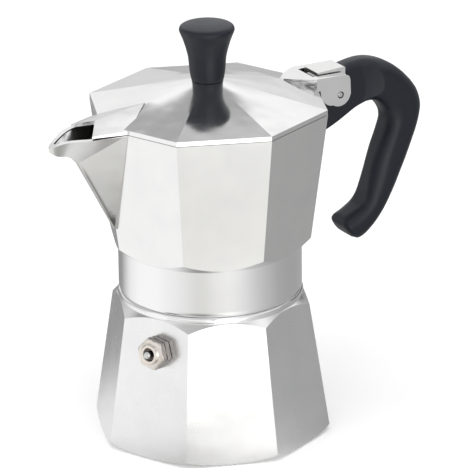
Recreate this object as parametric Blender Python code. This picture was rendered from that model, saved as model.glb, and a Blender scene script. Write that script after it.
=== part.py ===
"""Eight-sided stove-top coffee pot: boiler, funnel, screw-on collector, hinged lid and side handle.

Metres, +Z up. The origin is the centre of the boiler's foot, +X points to the handle, the spout is at -X.
The helpers below take millimetres and degrees.
"""

import math

import bmesh
import bpy
from mathutils import Matrix, Vector

MM = 0.001
ROUND = 48  # sides of a large turned shape
SMALL = 20  # sides of a small one

# Boiler: an eight-sided cone cut by a turned foot and shoulder
BOILER_TURN = 1.8
FOOT_R, FOOT_Z = 45.6, 2.4
BOILER_TAPER = 0.1534
SHOULDER_R, SHOULDER_Z, SHOULDER_SLOPE = 38.15, 50.95, 0.845
LEDGE_R, LEDGE_Z = 33.2, 56.1
NECK_R, NECK_BORE, NECK_TOP = 30.4, 28.0, 69.5

# Screw thread between boiler and collector
PITCH, THREAD_H = 4.0, 0.9
THREAD_LOW, THREAD_HIGH = 57.6, 67.2
SKIRT_BORE = 31.9

# Collector
COLLAR_R, COLLAR_LOW, COLLAR_HIGH = 34.6, 56.4, 74.4
WAIST_R, WAIST_Z = 39.1, 78.35
RIM_R, RIM_Z = 45.86, 127.4
COLLECTOR_WALL = 2.9
CEILING_Z, FLOOR_Z = 73.9, 78.6
COLUMN_TOP = 113.0

# Lid
LID_R, LID_LOW, LID_EDGE, LID_APEX, PAD_Z = 45.7, 127.7, 129.4, 139.6, 138.3
LID_SLOPE = (LID_APEX - LID_EDGE) / LID_R
LID_SKIN = 1.85

# Hinge
PIN_X, PIN_Z = 52.8, 124.5
PIN_R, PIN_HOLE = 1.05, 1.35
EAR_IN, EAR_OUT = 5.6, 8.9
SLOT_HALF, SLOT_REACH = 5.3, 13.0
RECESS_NEAR, RECESS_FAR = 13.7, 17.0
TAB_HALF, WEB_HALF, CHEEK_SLOT = 4.8, 2.4, 2.7
HANDLE_HALF, HANDLE_CORNER = 7.1, 6.0

# Safety valve, set square to a facet of the boiler
VALVE_Z, VALVE_OFFSET, VALVE_FACE = 41.9, 2.0, 202.5
HEX_R, HEX_TURN = 6.2, 49.0

GAP = 0.3


def start():
    for obj in list(bpy.data.objects):
        bpy.data.objects.remove(obj, do_unlink=True)


def material(name, colour, roughness, metallic):
    mat = bpy.data.materials.new(name)
    mat.use_nodes = True
    shader = next(n for n in mat.node_tree.nodes if n.type == "BSDF_PRINCIPLED")
    shader.inputs["Base Color"].default_value = (*colour, 1.0)
    shader.inputs["Roughness"].default_value = roughness
    shader.inputs["Metallic"].default_value = metallic
    mat.diffuse_color = (*colour, 1.0)
    return mat


def solid(name, points, faces):
    """A closed mesh with its faces turned outwards. It stays in millimetres until finish()."""
    mesh = bpy.data.meshes.new(name)
    mesh.from_pydata(points, [], faces)
    bm = bmesh.new()
    bm.from_mesh(mesh)
    bmesh.ops.remove_doubles(bm, verts=bm.verts, dist=1e-4)
    bmesh.ops.recalc_face_normals(bm, faces=bm.faces)
    if bm.calc_volume(signed=True) < 0:
        bmesh.ops.reverse_faces(bm, faces=bm.faces)
    bm.to_mesh(mesh)
    bm.free()
    obj = bpy.data.objects.new(name, mesh)
    bpy.context.scene.collection.objects.link(obj)
    return obj


def loft(name, rings, closed=False):
    """Rings of equal length joined in order, capped at both ends unless the last one meets the first."""
    count = len(rings[0])
    points = [p for ring in rings for p in ring]
    faces = []
    last = len(rings) if closed else len(rings) - 1
    for i in range(last):
        low, high = i * count, ((i + 1) % len(rings)) * count
        for j in range(count):
            k = (j + 1) % count
            faces.append((low + j, low + k, high + k, high + j))
    if not closed:
        faces.append(tuple(range(count)))
        faces.append(tuple(range((len(rings) - 1) * count, len(rings) * count)))
    return solid(name, points, faces)


def circle(radius, z, sides, turn=0.0):
    step = 2 * math.pi / sides
    start_at = math.radians(turn)
    return [
        (radius * math.cos(start_at + i * step), radius * math.sin(start_at + i * step), z)
        for i in range(sides)
    ]


def turned(name, profile, sides=ROUND, closed=False):
    """A profile of (radius, height) turned about Z. Closed joins its ends into a ring."""
    return loft(name, [circle(r, z, sides, 150.0 / sides) for r, z in profile], closed)


def octagon(radius, z, turn=0.0):
    return circle(radius, z, 8, turn)


def prism_y(name, outline, low, high):
    """An (x, z) outline with thickness along Y."""
    return loft(name, [[(x, y, z) for x, z in outline] for y in (low, high)])


def prism_z(name, outline, low, high):
    return loft(name, [[(x, y, z) for x, y in outline] for z in (low, high)])


def drum_y(name, x, z, radius, low, high, sides=SMALL):
    """A cylinder along Y."""
    step = 2 * math.pi / sides
    outline = [(x + radius * math.cos(i * step), z + radius * math.sin(i * step)) for i in range(sides)]
    return prism_y(name, outline, low, high)


def cone_y(name, x, z, ends, sides=ROUND):
    """A cone along Y, its ends given as (y, radius)."""
    step = 2 * math.pi / sides
    return loft(name, [[(x + r * math.cos(i * step), y, z + r * math.sin(i * step)) for i in range(sides)]
                       for y, r in ends])


def tidy(mesh):
    """Closes up the slivers that a Boolean leaves."""
    bm = bmesh.new()
    bm.from_mesh(mesh)
    bmesh.ops.remove_doubles(bm, verts=bm.verts, dist=2e-3)
    bmesh.ops.dissolve_degenerate(bm, edges=bm.edges, dist=1e-3)
    bm.to_mesh(mesh)
    bm.free()


def boolean(operation, target, *tools):
    for tool in tools:
        modifier = target.modifiers.new(operation.lower(), "BOOLEAN")
        modifier.operation = operation
        modifier.solver = "EXACT"
        modifier.object = tool
        bpy.context.view_layer.update()
        graph = bpy.context.evaluated_depsgraph_get()
        mesh = bpy.data.meshes.new_from_object(target.evaluated_get(graph))
        tidy(mesh)
        target.modifiers.clear()
        old = target.data
        target.data = mesh
        bpy.data.meshes.remove(old)
        bpy.data.objects.remove(tool, do_unlink=True)
    return target


def join(target, *tools):
    return boolean("UNION", target, *tools)


def cut(target, *tools):
    return boolean("DIFFERENCE", target, *tools)


def keep(target, tool):
    return boolean("INTERSECT", target, tool)


def finish(obj, name, mat, sharp=30.0):
    """Names the piece, brings it to metres, gives it its material and sets the shading."""
    obj.data.transform(Matrix.Scale(MM, 4))
    obj.name = name
    obj.data.name = name
    obj.data.materials.clear()
    obj.data.materials.append(mat)
    for polygon in obj.data.polygons:
        polygon.material_index = 0
        polygon.use_smooth = True
    obj.data.set_sharp_from_angle(angle=math.radians(sharp))
    return obj


def place_origin(obj, x, y, z):
    """Moves the object's origin without moving its mesh."""
    shift = Vector((x, y, z)) * MM
    obj.data.transform(Matrix.Translation(-shift))
    obj.location = shift


# ---- thread ----------------------------------------------------------------------------------------


def ridge(angle, z, offset):
    """0 between the turns of the thread, 1 on its crest."""
    turns = (z - offset) / PITCH - angle / (2 * math.pi)
    away = abs(turns - round(turns)) * PITCH
    return min(1.0, max(0.0, (0.95 - away) / 0.65))


def run_out(z, low, high):
    return min(1.0, max(0.0, (z - low) / 1.5), max(0.0, (high - z) / 1.5))


def threaded(name, radius, height, low, high, thread_low, thread_high, offset, step=0.5):
    """A capped cylinder with a right-handed ridge on it, raised or, with a negative height, sunk."""
    rows = [low]
    count = round((thread_high - thread_low) / step)
    rows += [thread_low + (thread_high - thread_low) * i / count for i in range(count + 1)]
    rows += [high]
    rings = []
    for z in rows:
        ring = []
        for i in range(ROUND):
            angle = 2 * math.pi * i / ROUND
            r = radius + height * ridge(angle, z, offset) * run_out(z, thread_low, thread_high)
            ring.append((r * math.cos(angle), r * math.sin(angle), z))
        rings.append(ring)
    return loft(name, rings)


# ---- boiler ----------------------------------------------------------------------------------------


def boiler_radius(z):
    return FOOT_R + BOILER_TAPER * (FOOT_Z - z)


def valve_frame():
    """The valve's own frame: +Z out along the facet's normal, origin on the facet."""
    face = math.radians(VALVE_FACE + BOILER_TURN)
    tilt = math.atan(BOILER_TAPER * math.cos(math.pi / 8))
    flat = boiler_radius(VALVE_Z) * math.cos(math.pi / 8)
    outward = Vector((math.cos(face), math.sin(face), 0))
    along = Vector((-outward.y, outward.x, 0))
    normal = (outward * math.cos(tilt) + Vector((0, 0, math.sin(tilt)))).normalized()
    up = normal.cross(along)
    centre = outward * flat + along * VALVE_OFFSET + Vector((0, 0, VALVE_Z))
    turn = Matrix((along, up, normal)).transposed().to_4x4()
    return Matrix.Translation(centre) @ turn


def set_in_valve(obj):
    obj.data.transform(valve_frame())
    return obj


def make_boiler(mat):
    body = loft("boiler", [octagon(boiler_radius(z), z, BOILER_TURN) for z in (-2.0, 60.0)])
    cone_top = SHOULDER_Z + (SHOULDER_R - LEDGE_R) * SHOULDER_SLOPE
    cone_foot = SHOULDER_Z - (48.0 - SHOULDER_R) * SHOULDER_SLOPE
    outside = turned(
        "outside",
        [(40.2, 0.0), (42.3, 0.35), (44.1, 1.15), (45.7, 2.5), (48.0, 6.0), (48.0, cone_foot),
         (LEDGE_R, cone_top), (LEDGE_R, LEDGE_Z)],
        96,
    )
    keep(body, outside)
    neck = threaded(
        "neck", NECK_R, THREAD_H, LEDGE_Z - 3, NECK_TOP, THREAD_LOW, THREAD_HIGH, 0.0
    )
    join(body, neck)
    cavity = turned(
        "cavity",
        [(33.5, 3.4), (36.4, 4.4), (37.8, 7.0), (33.4, 44.0), (31.8, 48.0), (NECK_BORE, 52.5),
         (NECK_BORE, NECK_TOP + 5)],
    )
    bore = set_in_valve(turned("bore", [(3.6, -9.0), (3.6, 3.0)], SMALL))
    cut(body, cavity, bore)
    return finish(body, "boiler", mat)


# ---- safety valve ----------------------------------------------------------------------------------


def make_valve(brass, steel, rubber):
    body = turned("body", [(3.3, -8.0), (3.3, 1.0)], SMALL)
    core = turned("core", [(5.0, 0.3), (5.0, 5.0)], SMALL)
    back_hex = loft("back_hex", [circle(HEX_R, z, 6, HEX_TURN) for z in (0.3, 2.6)])
    front_hex = loft("front_hex", [circle(HEX_R, z, 6, HEX_TURN) for z in (3.1, 8.0)])
    keep(front_hex, turned("chamfer", [(7.4, 2.0), (7.4, 4.5), (4.8, 6.1)]))
    boss = turned("boss", [(3.8, 5.5), (3.8, 6.3), (3.3, 6.9)], SMALL)
    join(body, core, back_hex, front_hex, boss)
    mouth = turned("mouth", [(2.4, 3.0), (2.4, 8.0)], SMALL)
    neck = turned("neck", [(1.45, 0.5), (1.45, 4.0)], SMALL)
    chamber = turned("chamber", [(2.7, -9.0), (2.7, 1.4)], SMALL)
    cut(body, mouth, neck, chamber)
    finish(set_in_valve(body), "valve_body", brass)

    seat = turned("seat", [(1.3, -7.9), (2.4, -7.9), (2.4, -6.9), (1.3, -6.9)], SMALL, True)
    finish(set_in_valve(seat), "valve_retainer", brass)

    seal = turned("seal", [(1.9, -6.6), (2.2, -6.4), (2.2, -5.8), (2.0, -5.7)], SMALL)
    finish(set_in_valve(seal), "valve_seal", rubber)
    place_origin(seal, *valve_frame().translation)

    piston = turned(
        "piston",
        [(2.0, -5.4), (2.2, -5.2), (2.2, -4.6), (1.1, -4.4), (1.1, 4.4), (1.4, 4.7), (1.4, 7.9), (1.1, 8.3),
         (0.4, 8.5)],
        SMALL,
    )
    finish(set_in_valve(piston), "valve_piston", steel)
    place_origin(piston, *valve_frame().translation)

    turns, per_turn, coil_r, wire = 4, 12, 1.85, 0.3
    rings = []
    for i in range(turns * per_turn + 1):
        angle = 2 * math.pi * i / per_turn
        height = -2.3 + 3.2 * i / (turns * per_turn)
        ring = []
        for j in range(6):
            a = 2 * math.pi * j / 6
            r = coil_r + wire * math.cos(a)
            ring.append((r * math.cos(angle), r * math.sin(angle), height + wire * math.sin(a)))
        rings.append(ring)
    finish(set_in_valve(loft("spring", rings)), "valve_spring", steel)


# ---- funnel, gasket and filter plate ---------------------------------------------------------------


def holes(radii, hole, low, high):
    """Six-sided drills in rings, as one cutter."""
    points, faces = [], []
    for radius, count in radii:
        for i in range(count):
            angle = 2 * math.pi * i / count
            x, y = radius * math.cos(angle), radius * math.sin(angle)
            base = len(points)
            for z in (low, high):
                points += [(x + px, y + py, z) for px, py, _ in circle(hole, 0, 6)]
            faces += [(base + j, base + (j + 1) % 6, base + 6 + (j + 1) % 6, base + 6 + j) for j in range(6)]
            faces += [tuple(base + j for j in range(6)), tuple(base + 6 + j for j in range(6))]
    return solid("holes", points, faces)


def make_inner_pieces(aluminium, steel, rubber):
    top = NECK_TOP + GAP
    funnel = turned(
        "funnel",
        [(3.2, 7.0), (4.1, 7.0), (4.1, 40.0), (5.2, 42.4), (24.9, 49.4), (27.4, 51.6), (27.4, top),
         (30.2, top), (30.2, top + 0.9), (26.6, top + 0.9), (26.6, 52.0), (24.4, 50.2), (4.6, 43.2),
         (3.2, 40.4)],
        40,
        True,
    )
    finish(funnel, "funnel", aluminium)

    screen = turned("screen", [(23.9, 50.35), (26.2, 52.2), (26.2, 53.0), (23.9, 51.3)], 40)
    cut(screen, holes([(0, 1), (6.5, 6), (13, 12)], 1.0, 48, 55))
    finish(screen, "funnel_screen", aluminium)

    gasket = turned(
        "gasket", [(26.4, 71.3), (27.0, 71.0), (30.9, 71.0), (31.5, 71.4), (31.5, 73.3), (26.4, 73.3)],
        40, True,
    )
    finish(gasket, "gasket", rubber)

    plate = turned("plate", [(22.0, 71.4), (26.1, 71.9), (26.1, 72.7), (21.8, 72.2)], 40)
    cut(plate, holes([(0, 1), (6, 6), (12, 12), (18, 18)], 0.9, 70, 75))
    finish(plate, "filter_plate", steel)


# ---- collector -------------------------------------------------------------------------------------


def collector_radius(z):
    return WAIST_R + (RIM_R - WAIST_R) * (z - WAIST_Z) / (RIM_Z - WAIST_Z)


def spout(name, root, keel, rim, lift=None):
    """The pouring lip as a closed shape. Root is its top corner on the wall with the point behind it,
    keel runs from the wall to the tip, rim from the root to the tip. Lift raises the top, for a cutter."""
    corner, behind = root
    left = [behind, corner, *rim]
    half = len(left)
    top = [(x, y, lift) if lift else (x, y, z) for x, y, z in left]
    points = left + [(x, -y, z) for x, y, z in left]
    keel_at = len(points)
    points += keel + [(x, -y, z) for x, y, z in keel]
    count = len(keel)
    faces = []

    def side(first, line, mirror):
        """Joins the rim's points to the keel's, as strips of triangles."""
        a = [first + 1 + i for i in range(half - 1)]
        b = [line + 1 + i for i in range(count - 1)]
        made = [(a[0], line + 1, line + 2)]
        i, j = 0, 1
        while i < len(a) - 1 or j < len(b) - 1:
            along_rim = (i + 1) / len(a) <= j / len(b)
            if (along_rim and i < len(a) - 1) or j == len(b) - 1:
                made.append((a[i], b[j], a[i + 1]))
                i += 1
            else:
                made.append((a[i], b[j], b[j + 1]))
                j += 1
        made.append((first, line, line + 1, first + 1))
        return [tuple(reversed(f)) for f in made] if mirror else made

    faces += side(0, keel_at, False)
    faces += side(half, keel_at + count, True)
    for i in range(count - 1):
        faces.append((keel_at + i, keel_at + i + 1, keel_at + count + i + 1, keel_at + count + i))
    faces.append((0, half, keel_at + count, keel_at))
    faces.append((half - 1, keel_at + count - 1, keel_at + 2 * count - 1, 2 * half - 1))
    if lift:
        top_at = len(points)
        points += top + [(x, -y, z) for x, y, z in top]
        for i in range(half - 1):
            faces.append((i, i + 1, top_at + i + 1, top_at + i))
            faces.append((half + i, half + i + 1, top_at + half + i + 1, top_at + half + i))
        faces.append((half - 1, 2 * half - 1, top_at + 2 * half - 1, top_at + half - 1))
        faces.append((0, half, top_at + half, top_at))
    else:
        top_at = 0
    for i in range(half - 1):
        faces.append((top_at + i, top_at + i + 1, top_at + half + i + 1, top_at + half + i))
    return solid(name, points, faces)


def make_collector(mat):
    body = loft("collector", [octagon(collector_radius(z), z) for z in (COLLAR_HIGH - 4, RIM_Z + 3)])
    slope = (WAIST_R - COLLAR_R) / (WAIST_Z - COLLAR_HIGH)
    flare = WAIST_R + slope * 14
    keep(body, turned("undercut", [(COLLAR_R, COLLAR_HIGH), (flare, WAIST_Z + 14), (flare, RIM_Z + 5)], 96))
    collar = turned(
        "collar",
        [(33.5, COLLAR_LOW), (34.2, COLLAR_LOW + 0.25), (COLLAR_R, COLLAR_LOW + 1.0),
         (COLLAR_R, COLLAR_HIGH + 0.4), (30.0, COLLAR_HIGH + 2)],
        96,
    )
    outer_lip = spout(
        "outer_lip",
        [(-41.0, -12.0, RIM_Z + 0.05), (-33.0, -9.0, RIM_Z + 0.05)],
        [(-33.0, -0.6, 86.0), (-41.0, -0.6, 87.4), (-56.0, -0.7, 114.6), (-60.6, -0.8, 119.4),
         (-63.9, -0.9, 120.3), (-67.4, -1.0, 122.6)],
        [(-53.2, -9.4, 127.25), (-60.0, -6.2, 126.85), (-62.9, -4.3, 126.25), (-67.1, -1.2, 124.45)],
        RIM_Z + 4,
    )
    above = prism_y(
        "above",
        [(-70.0, 122.2), (-67.1, 124.4), (-62.9, 126.2), (-60.0, 126.8), (-53.2, 127.2), (-41.0, RIM_Z),
         (60.0, RIM_Z), (60.0, 140.0), (-70.0, 140.0)],
        -60, 60,
    )
    web = prism_y(
        "web",
        [(42.0, 110.0), (44.4, RIM_Z + 1), (44.6, 131.6), (57.2, 131.6), (57.2, 121.5), (54.6, 117.0),
         (49.5, 112.2), (44.5, 109.0)],
        -WEB_HALF, WEB_HALF,
    )
    tab = prism_y(
        "tab",
        [(45.6, 130.9), (45.2, 131.4), (45.2, 133.3), (45.7, 133.5), (56.9, 133.9), (57.4, 133.5), (57.4, 130.9)],
        -TAB_HALF, TAB_HALF,
    )
    join(body, collar, outer_lip)
    cut(body, above)
    join(body, web, tab)

    inner = [octagon(collector_radius(FLOOR_Z) - COLLECTOR_WALL - 2.2, FLOOR_Z)]
    for z in (FLOOR_Z + 1.8, RIM_Z + 4):
        inner.append(octagon(collector_radius(z) - COLLECTOR_WALL, z))
    inner_lip = spout(
        "inner_lip",
        [(-38.0, -10.2, 126.6), (-30.0, -8.0, 126.6)],
        [(-30.0, -0.5, 89.0), (-38.6, -0.5, 90.6), (-53.9, -0.5, 118.4), (-59.4, -0.5, 122.0),
         (-62.9, -0.5, 122.6), (-65.2, -0.5, 123.9)],
        [(-52.4, -7.3, 126.6), (-58.5, -4.6, 126.4), (-61.2, -3.1, 125.8), (-65.0, -0.7, 124.4)],
        RIM_Z + 5,
    )
    cut(body, loft("inside", inner), inner_lip)

    boss = prism_y(
        "boss", [(41.0, 113.0), (38.4, 121.5), (38.4, RIM_Z - 0.3), (42.8, RIM_Z - 0.3)], -SLOT_HALF + 0.1, SLOT_HALF - 0.1
    )
    column = turned("column", [(8.0, FLOOR_Z - 2), (7.6, FLOOR_Z + 0.5), (5.4, COLUMN_TOP - 1.2),
                               (4.4, COLUMN_TOP)], SMALL)
    join(body, boss, column)

    skirt = threaded(
        "skirt", SKIRT_BORE, -THREAD_H, COLLAR_LOW - 4, CEILING_Z, THREAD_LOW, THREAD_HIGH, PITCH / 2
    )
    riser = turned("riser", [(24.0, CEILING_Z - 1), (24.0, CEILING_Z), (5.0, CEILING_Z + 2.6), (3.2, FLOOR_Z + 3),
                             (2.7, COLUMN_TOP - 3)], SMALL)
    outlet = drum_y("outlet", 0.0, COLUMN_TOP - 6, 2.1, -9, 9, 16)
    hole = drum_y("hole", PIN_X, PIN_Z, PIN_HOLE, -6, 6)
    cut(body, skirt, riser, outlet, hole)
    return finish(body, "collector", mat)


# ---- lid -------------------------------------------------------------------------------------------


def channel_ring(x, half, side_z, ridge_z):
    """A section of the space under the lid's beak."""
    return [(x, -half, 125.0), (x, half, 125.0), (x, half, side_z), (x, 0.7, ridge_z), (x, -0.7, ridge_z),
            (x, -half, side_z)]


def make_lid(mat):
    pad_r = (LID_APEX - PAD_Z) / LID_SLOPE
    body = loft("lid", [octagon(LID_R, LID_LOW), octagon(LID_R, LID_EDGE), octagon(pad_r, PAD_Z)])

    low = LID_LOW
    ridge_back, ridge_tip = (-27.0, 0.0, 134.1), (-48.1, 0.0, 131.2)
    side_tip, side_root = (-53.8, -8.1, 128.6), (-40.4, -11.6, 129.4)
    hood_points = [
        ridge_back, ridge_tip, side_tip, (side_tip[0], -side_tip[1], side_tip[2]),
        side_root, (side_root[0], -side_root[1], side_root[2]),
        (-26.0, 0.0, low), (ridge_tip[0], 0.0, low), (side_tip[0], side_tip[1], low),
        (side_tip[0], -side_tip[1], low), (side_root[0], side_root[1], low), (side_root[0], -side_root[1], low),
    ]
    hood_faces = [
        (0, 4, 2), (0, 2, 1), (0, 1, 3), (0, 3, 5), (1, 2, 8, 7), (1, 7, 9, 3), (2, 4, 10, 8), (3, 9, 11, 5),
        (0, 6, 10, 4), (0, 5, 11, 6), (6, 7, 8, 10), (6, 11, 9, 7),
    ]
    hood = solid("hood", hood_points, hood_faces)

    half = [(31.7, 0.6), (33.4, 2.3), (36.0, 4.7), (39.0, 7.0), (42.2, EAR_OUT), (44.0, EAR_OUT)]
    plate = prism_z("plate", half + [(x, -y) for x, y in reversed(half)], 128.4, 132.6)
    ear = [
        (42.2, LID_LOW + 0.1), (42.2, 132.6), (55.2, 132.2), (56.6, 131.4), (57.1, 130.0), (57.3, 124.6),
        (56.7, 122.4), (55.3, 120.9), (53.3, 120.1), (51.2, 120.2), (49.2, 121.1), (46.9, 123.3), (45.3, 126.0),
        (44.9, LID_LOW + 0.1),
    ]
    join(body, hood, plate, prism_y("ear", ear, -EAR_OUT, -EAR_IN), prism_y("ear", ear, EAR_IN, EAR_OUT))

    skin_low = LID_APEX - LID_SKIN - LID_SLOPE * (LID_R - 1.95)
    inside = loft(
        "inside",
        [octagon(LID_R - 1.95, LID_LOW - 3), octagon(LID_R - 1.95, skin_low),
         octagon(7.0, LID_APEX - LID_SKIN - LID_SLOPE * 7.0)],
    )
    cut(inside, drum_y("wall", PIN_X, PIN_Z, SLOT_REACH + 1.6, -SLOT_HALF - 1.8, SLOT_HALF + 1.8, ROUND))
    channel = loft(
        "channel",
        [
            channel_ring(-25.0, 7.0, 130.0, 132.4),
            channel_ring(-40.4, 9.6, 128.4, 130.6),
            channel_ring(-58.0, 5.6, 127.4, 128.3),
        ],
    )
    slot = drum_y("slot", PIN_X, PIN_Z, SLOT_REACH, -SLOT_HALF, SLOT_HALF, ROUND)
    screw_hole = turned("screw_hole", [(2.4, 130.0), (2.4, 142.0)], SMALL)
    pin_hole = drum_y("pin_hole", PIN_X, PIN_Z, PIN_HOLE, -12, 12)
    cut(body, inside, channel, slot, screw_hole, pin_hole)
    finish(body, "lid", mat)
    place_origin(body, PIN_X, 0, PIN_Z)


def make_knob(plastic, brass, steel):
    knob = turned(
        "knob",
        [(5.35, 138.6), (5.7, 139.4), (6.6, 141.9), (7.3, 146.1), (8.3, 151.6), (9.7, 156.0), (10.25, 157.6),
         (10.2, 158.5), (9.5, 159.2), (6.5, 159.8), (2.0, 160.0)],
        40,
    )
    cut(knob, turned("socket", [(3.7, 136.0), (3.7, 151.0)], SMALL))
    finish(knob, "knob", plastic)
    insert = turned("insert", [(2.3, 139.0), (3.4, 139.0), (3.4, 150.6), (2.3, 150.6)], SMALL, True)
    finish(insert, "knob_insert", brass)
    washer = turned("washer", [(2.3, 135.0), (5.4, 135.0), (5.4, 135.8), (2.3, 135.8)], SMALL, True)
    finish(washer, "knob_washer", steel)
    screw = turned(
        "screw", [(3.2, 132.6), (4.4, 133.3), (4.4, 134.7), (2.0, 134.7), (2.0, 149.4), (1.4, 150.0)], SMALL
    )
    cut(screw, prism_z("drive", [(-3.4, -0.5), (3.4, -0.5), (3.4, 0.5), (-3.4, 0.5)], 131.0, 133.4))
    finish(screw, "knob_screw", steel)


# ---- handle ----------------------------------------------------------------------------------------

# Points of the handle's back and of its inner side, in pairs from the collector round to the toe
HANDLE_SPANS = [
    ((38.0, 133.0), (38.0, 104.8)), ((46.0, 133.2), (45.0, 107.5)), ((54.0, 133.3), (52.5, 110.6)),
    ((58.0, 133.4), (57.8, 113.3)), ((62.0, 134.1), (62.2, 115.6)), ((66.5, 134.5), (66.6, 117.0)),
    ((71.0, 134.0), (69.9, 117.2)), ((76.5, 132.0), (72.6, 116.2)), ((82.0, 128.5), (74.7, 114.0)),
    ((87.0, 123.7), (76.2, 111.6)), ((90.6, 118.8), (77.0, 109.0)), ((92.2, 113.5), (76.9, 106.2)),
    ((91.8, 108.6), (75.8, 103.2)), ((90.3, 103.4), (74.4, 99.9)), ((88.2, 98.0), (72.8, 96.2)),
    ((85.9, 92.4), (71.4, 92.2)), ((83.3, 86.8), (70.1, 88.0)), ((80.6, 81.8), (69.0, 83.9)),
    ((77.8, 77.3), (68.0, 80.2)), ((74.9, 73.0), (66.8, 77.5)), ((72.0, 69.2), (65.0, 75.7)),
    ((69.0, 66.0), (62.8, 74.5)), ((66.6, 64.0), (60.8, 73.5)), ((64.4, 63.0), (58.9, 72.6)),
    ((62.8, 63.1), (57.7, 71.8)), ((61.6, 63.9), (57.2, 70.6)),
]


def span_ring(outer, inner, half, corner):
    """A rounded rectangle standing across the handle, from its inner side to its back."""
    o, i = Vector(outer), Vector(inner)
    length = (o - i).length
    run = (o - i).normalized()
    corner = min(corner, length * 0.45)
    ring = []
    for sx, sy, first in ((1, 1, 0), (-1, 1, 90), (-1, -1, 180), (1, -1, 270)):
        for k in range(4):
            angle = math.radians(first + 30 * k)
            along = sx * (length / 2 - corner) + corner * math.cos(angle)
            across = sy * (half - corner) + corner * math.sin(angle)
            point = (o + i) / 2 + run * along
            ring.append((point.x, across, point.y))
    return ring


def make_handle(mat):
    body = loft("handle", [span_ring(o, i, HANDLE_HALF, HANDLE_CORNER) for o, i in HANDLE_SPANS])
    step = prism_y("step", [(30.0, 130.5), (57.7, 130.5), (58.0, 140.0), (30.0, 140.0)], -9, 9)
    cut(body, step)
    front = prism_y(
        "front", [(30.0, 100.0), (42.6, 100.0), (46.2, 127.6), (46.2, 140.0), (30.0, 140.0)], -9, 9
    )
    slot = prism_y(
        "slot",
        [(36.0, 104.9), (44.8, 108.4), (49.8, 111.7), (55.0, 116.7), (57.6, 121.3), (57.6, 136.0), (36.0, 136.0)],
        -CHEEK_SLOT, CHEEK_SLOT,
    )
    cut(body, front, slot)
    for side in (-1, 1):
        ends = [(side * SLOT_HALF, RECESS_NEAR), (side * 9.0, RECESS_FAR)]
        cut(body, cone_y("recess", PIN_X, PIN_Z, ends))
    cut(body, drum_y("hole", PIN_X, PIN_Z, PIN_HOLE, -9, 9))
    finish(body, "handle", mat, 40.0)


def main():
    start()
    cast = material("cast_aluminium", (0.86, 0.86, 0.85), 0.22, 1.0)
    thin = material("spun_aluminium", (0.80, 0.80, 0.80), 0.35, 1.0)
    brass = material("nickel_brass", (0.80, 0.73, 0.62), 0.25, 1.0)
    steel = material("steel", (0.68, 0.68, 0.67), 0.28, 1.0)
    rubber = material("silicone", (0.86, 0.85, 0.82), 0.6, 0.0)
    plastic = material("black_plastic", (0.022, 0.023, 0.028), 0.34, 0.0)
    make_boiler(cast)
    make_valve(brass, steel, rubber)
    make_inner_pieces(thin, steel, rubber)
    make_collector(cast)
    make_lid(cast)
    make_knob(plastic, brass, steel)
    make_handle(plastic)
    pin = drum_y("pin", PIN_X, PIN_Z, PIN_R, -8.8, 8.8)
    finish(pin, "hinge_pin", steel)


main()
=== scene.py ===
import math

import bmesh
import bpy
from mathutils import Matrix, Vector


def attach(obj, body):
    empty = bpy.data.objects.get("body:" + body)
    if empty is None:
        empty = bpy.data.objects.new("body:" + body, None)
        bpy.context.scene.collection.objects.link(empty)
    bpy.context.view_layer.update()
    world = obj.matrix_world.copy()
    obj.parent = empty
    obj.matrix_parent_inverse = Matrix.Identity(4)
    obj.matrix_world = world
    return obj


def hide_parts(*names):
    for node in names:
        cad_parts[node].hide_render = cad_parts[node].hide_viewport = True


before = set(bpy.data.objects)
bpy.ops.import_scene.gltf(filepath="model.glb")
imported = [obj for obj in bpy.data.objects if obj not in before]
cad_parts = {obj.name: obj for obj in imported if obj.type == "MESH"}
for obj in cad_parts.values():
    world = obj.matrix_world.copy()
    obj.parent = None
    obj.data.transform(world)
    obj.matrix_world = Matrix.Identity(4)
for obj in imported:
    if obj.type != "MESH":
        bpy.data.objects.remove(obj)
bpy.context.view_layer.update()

MM = 0.001
BIG, SMALL = 160, 48  # sides of large and of small turned shapes

# The pot's own sizes in millimetres, as in the CAD
BOILER_TURN, FOOT_R, FOOT_Z, TAPER, VALVE_Z = 1.8, 45.6, 2.4, 0.1534, 41.9
NECK_R, SKIRT_R, THREAD_LOW, THREAD_HIGH = 30.4, 31.9, 57.6, 67.2
PITCH, THREAD_H = 4.0, 0.9
COLLAR_R, COLLAR_LOW, COLLAR_HIGH = 34.6, 56.4, 74.4
WAIST_R, WAIST_Z, RIM_R, RIM_Z = 39.1, 78.35, 45.86, 127.5
LID_R, LID_LOW, LID_EDGE, LID_APEX, PAD_Z = 45.75, 127.65, 129.4, 139.6, 138.3
LID_SLOPE = (LID_APEX - LID_EDGE) / LID_R
PIN_X, PIN_Z, PIN_HOLE_R = 52.8, 124.5, 1.35
COLLECTOR_WALL, LID_WALL, LID_RIM_WALL = 2.9, 1.85, 1.95
GRIP_HALF, GRIP_CORNER = 7.1, 6.0


# ---- mesh helpers: everything is in millimetres until piece() --------------------------------------


def solid(name, points, faces):
    mesh = bpy.data.meshes.new(name)
    mesh.from_pydata(points, [], faces)
    bm = bmesh.new()
    bm.from_mesh(mesh)
    bmesh.ops.remove_doubles(bm, verts=bm.verts, dist=1e-4)
    bmesh.ops.recalc_face_normals(bm, faces=bm.faces)
    if bm.calc_volume(signed=True) < 0:
        bmesh.ops.reverse_faces(bm, faces=bm.faces)
    bm.to_mesh(mesh)
    bm.free()
    obj = bpy.data.objects.new(name, mesh)
    bpy.context.scene.collection.objects.link(obj)
    return obj


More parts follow.
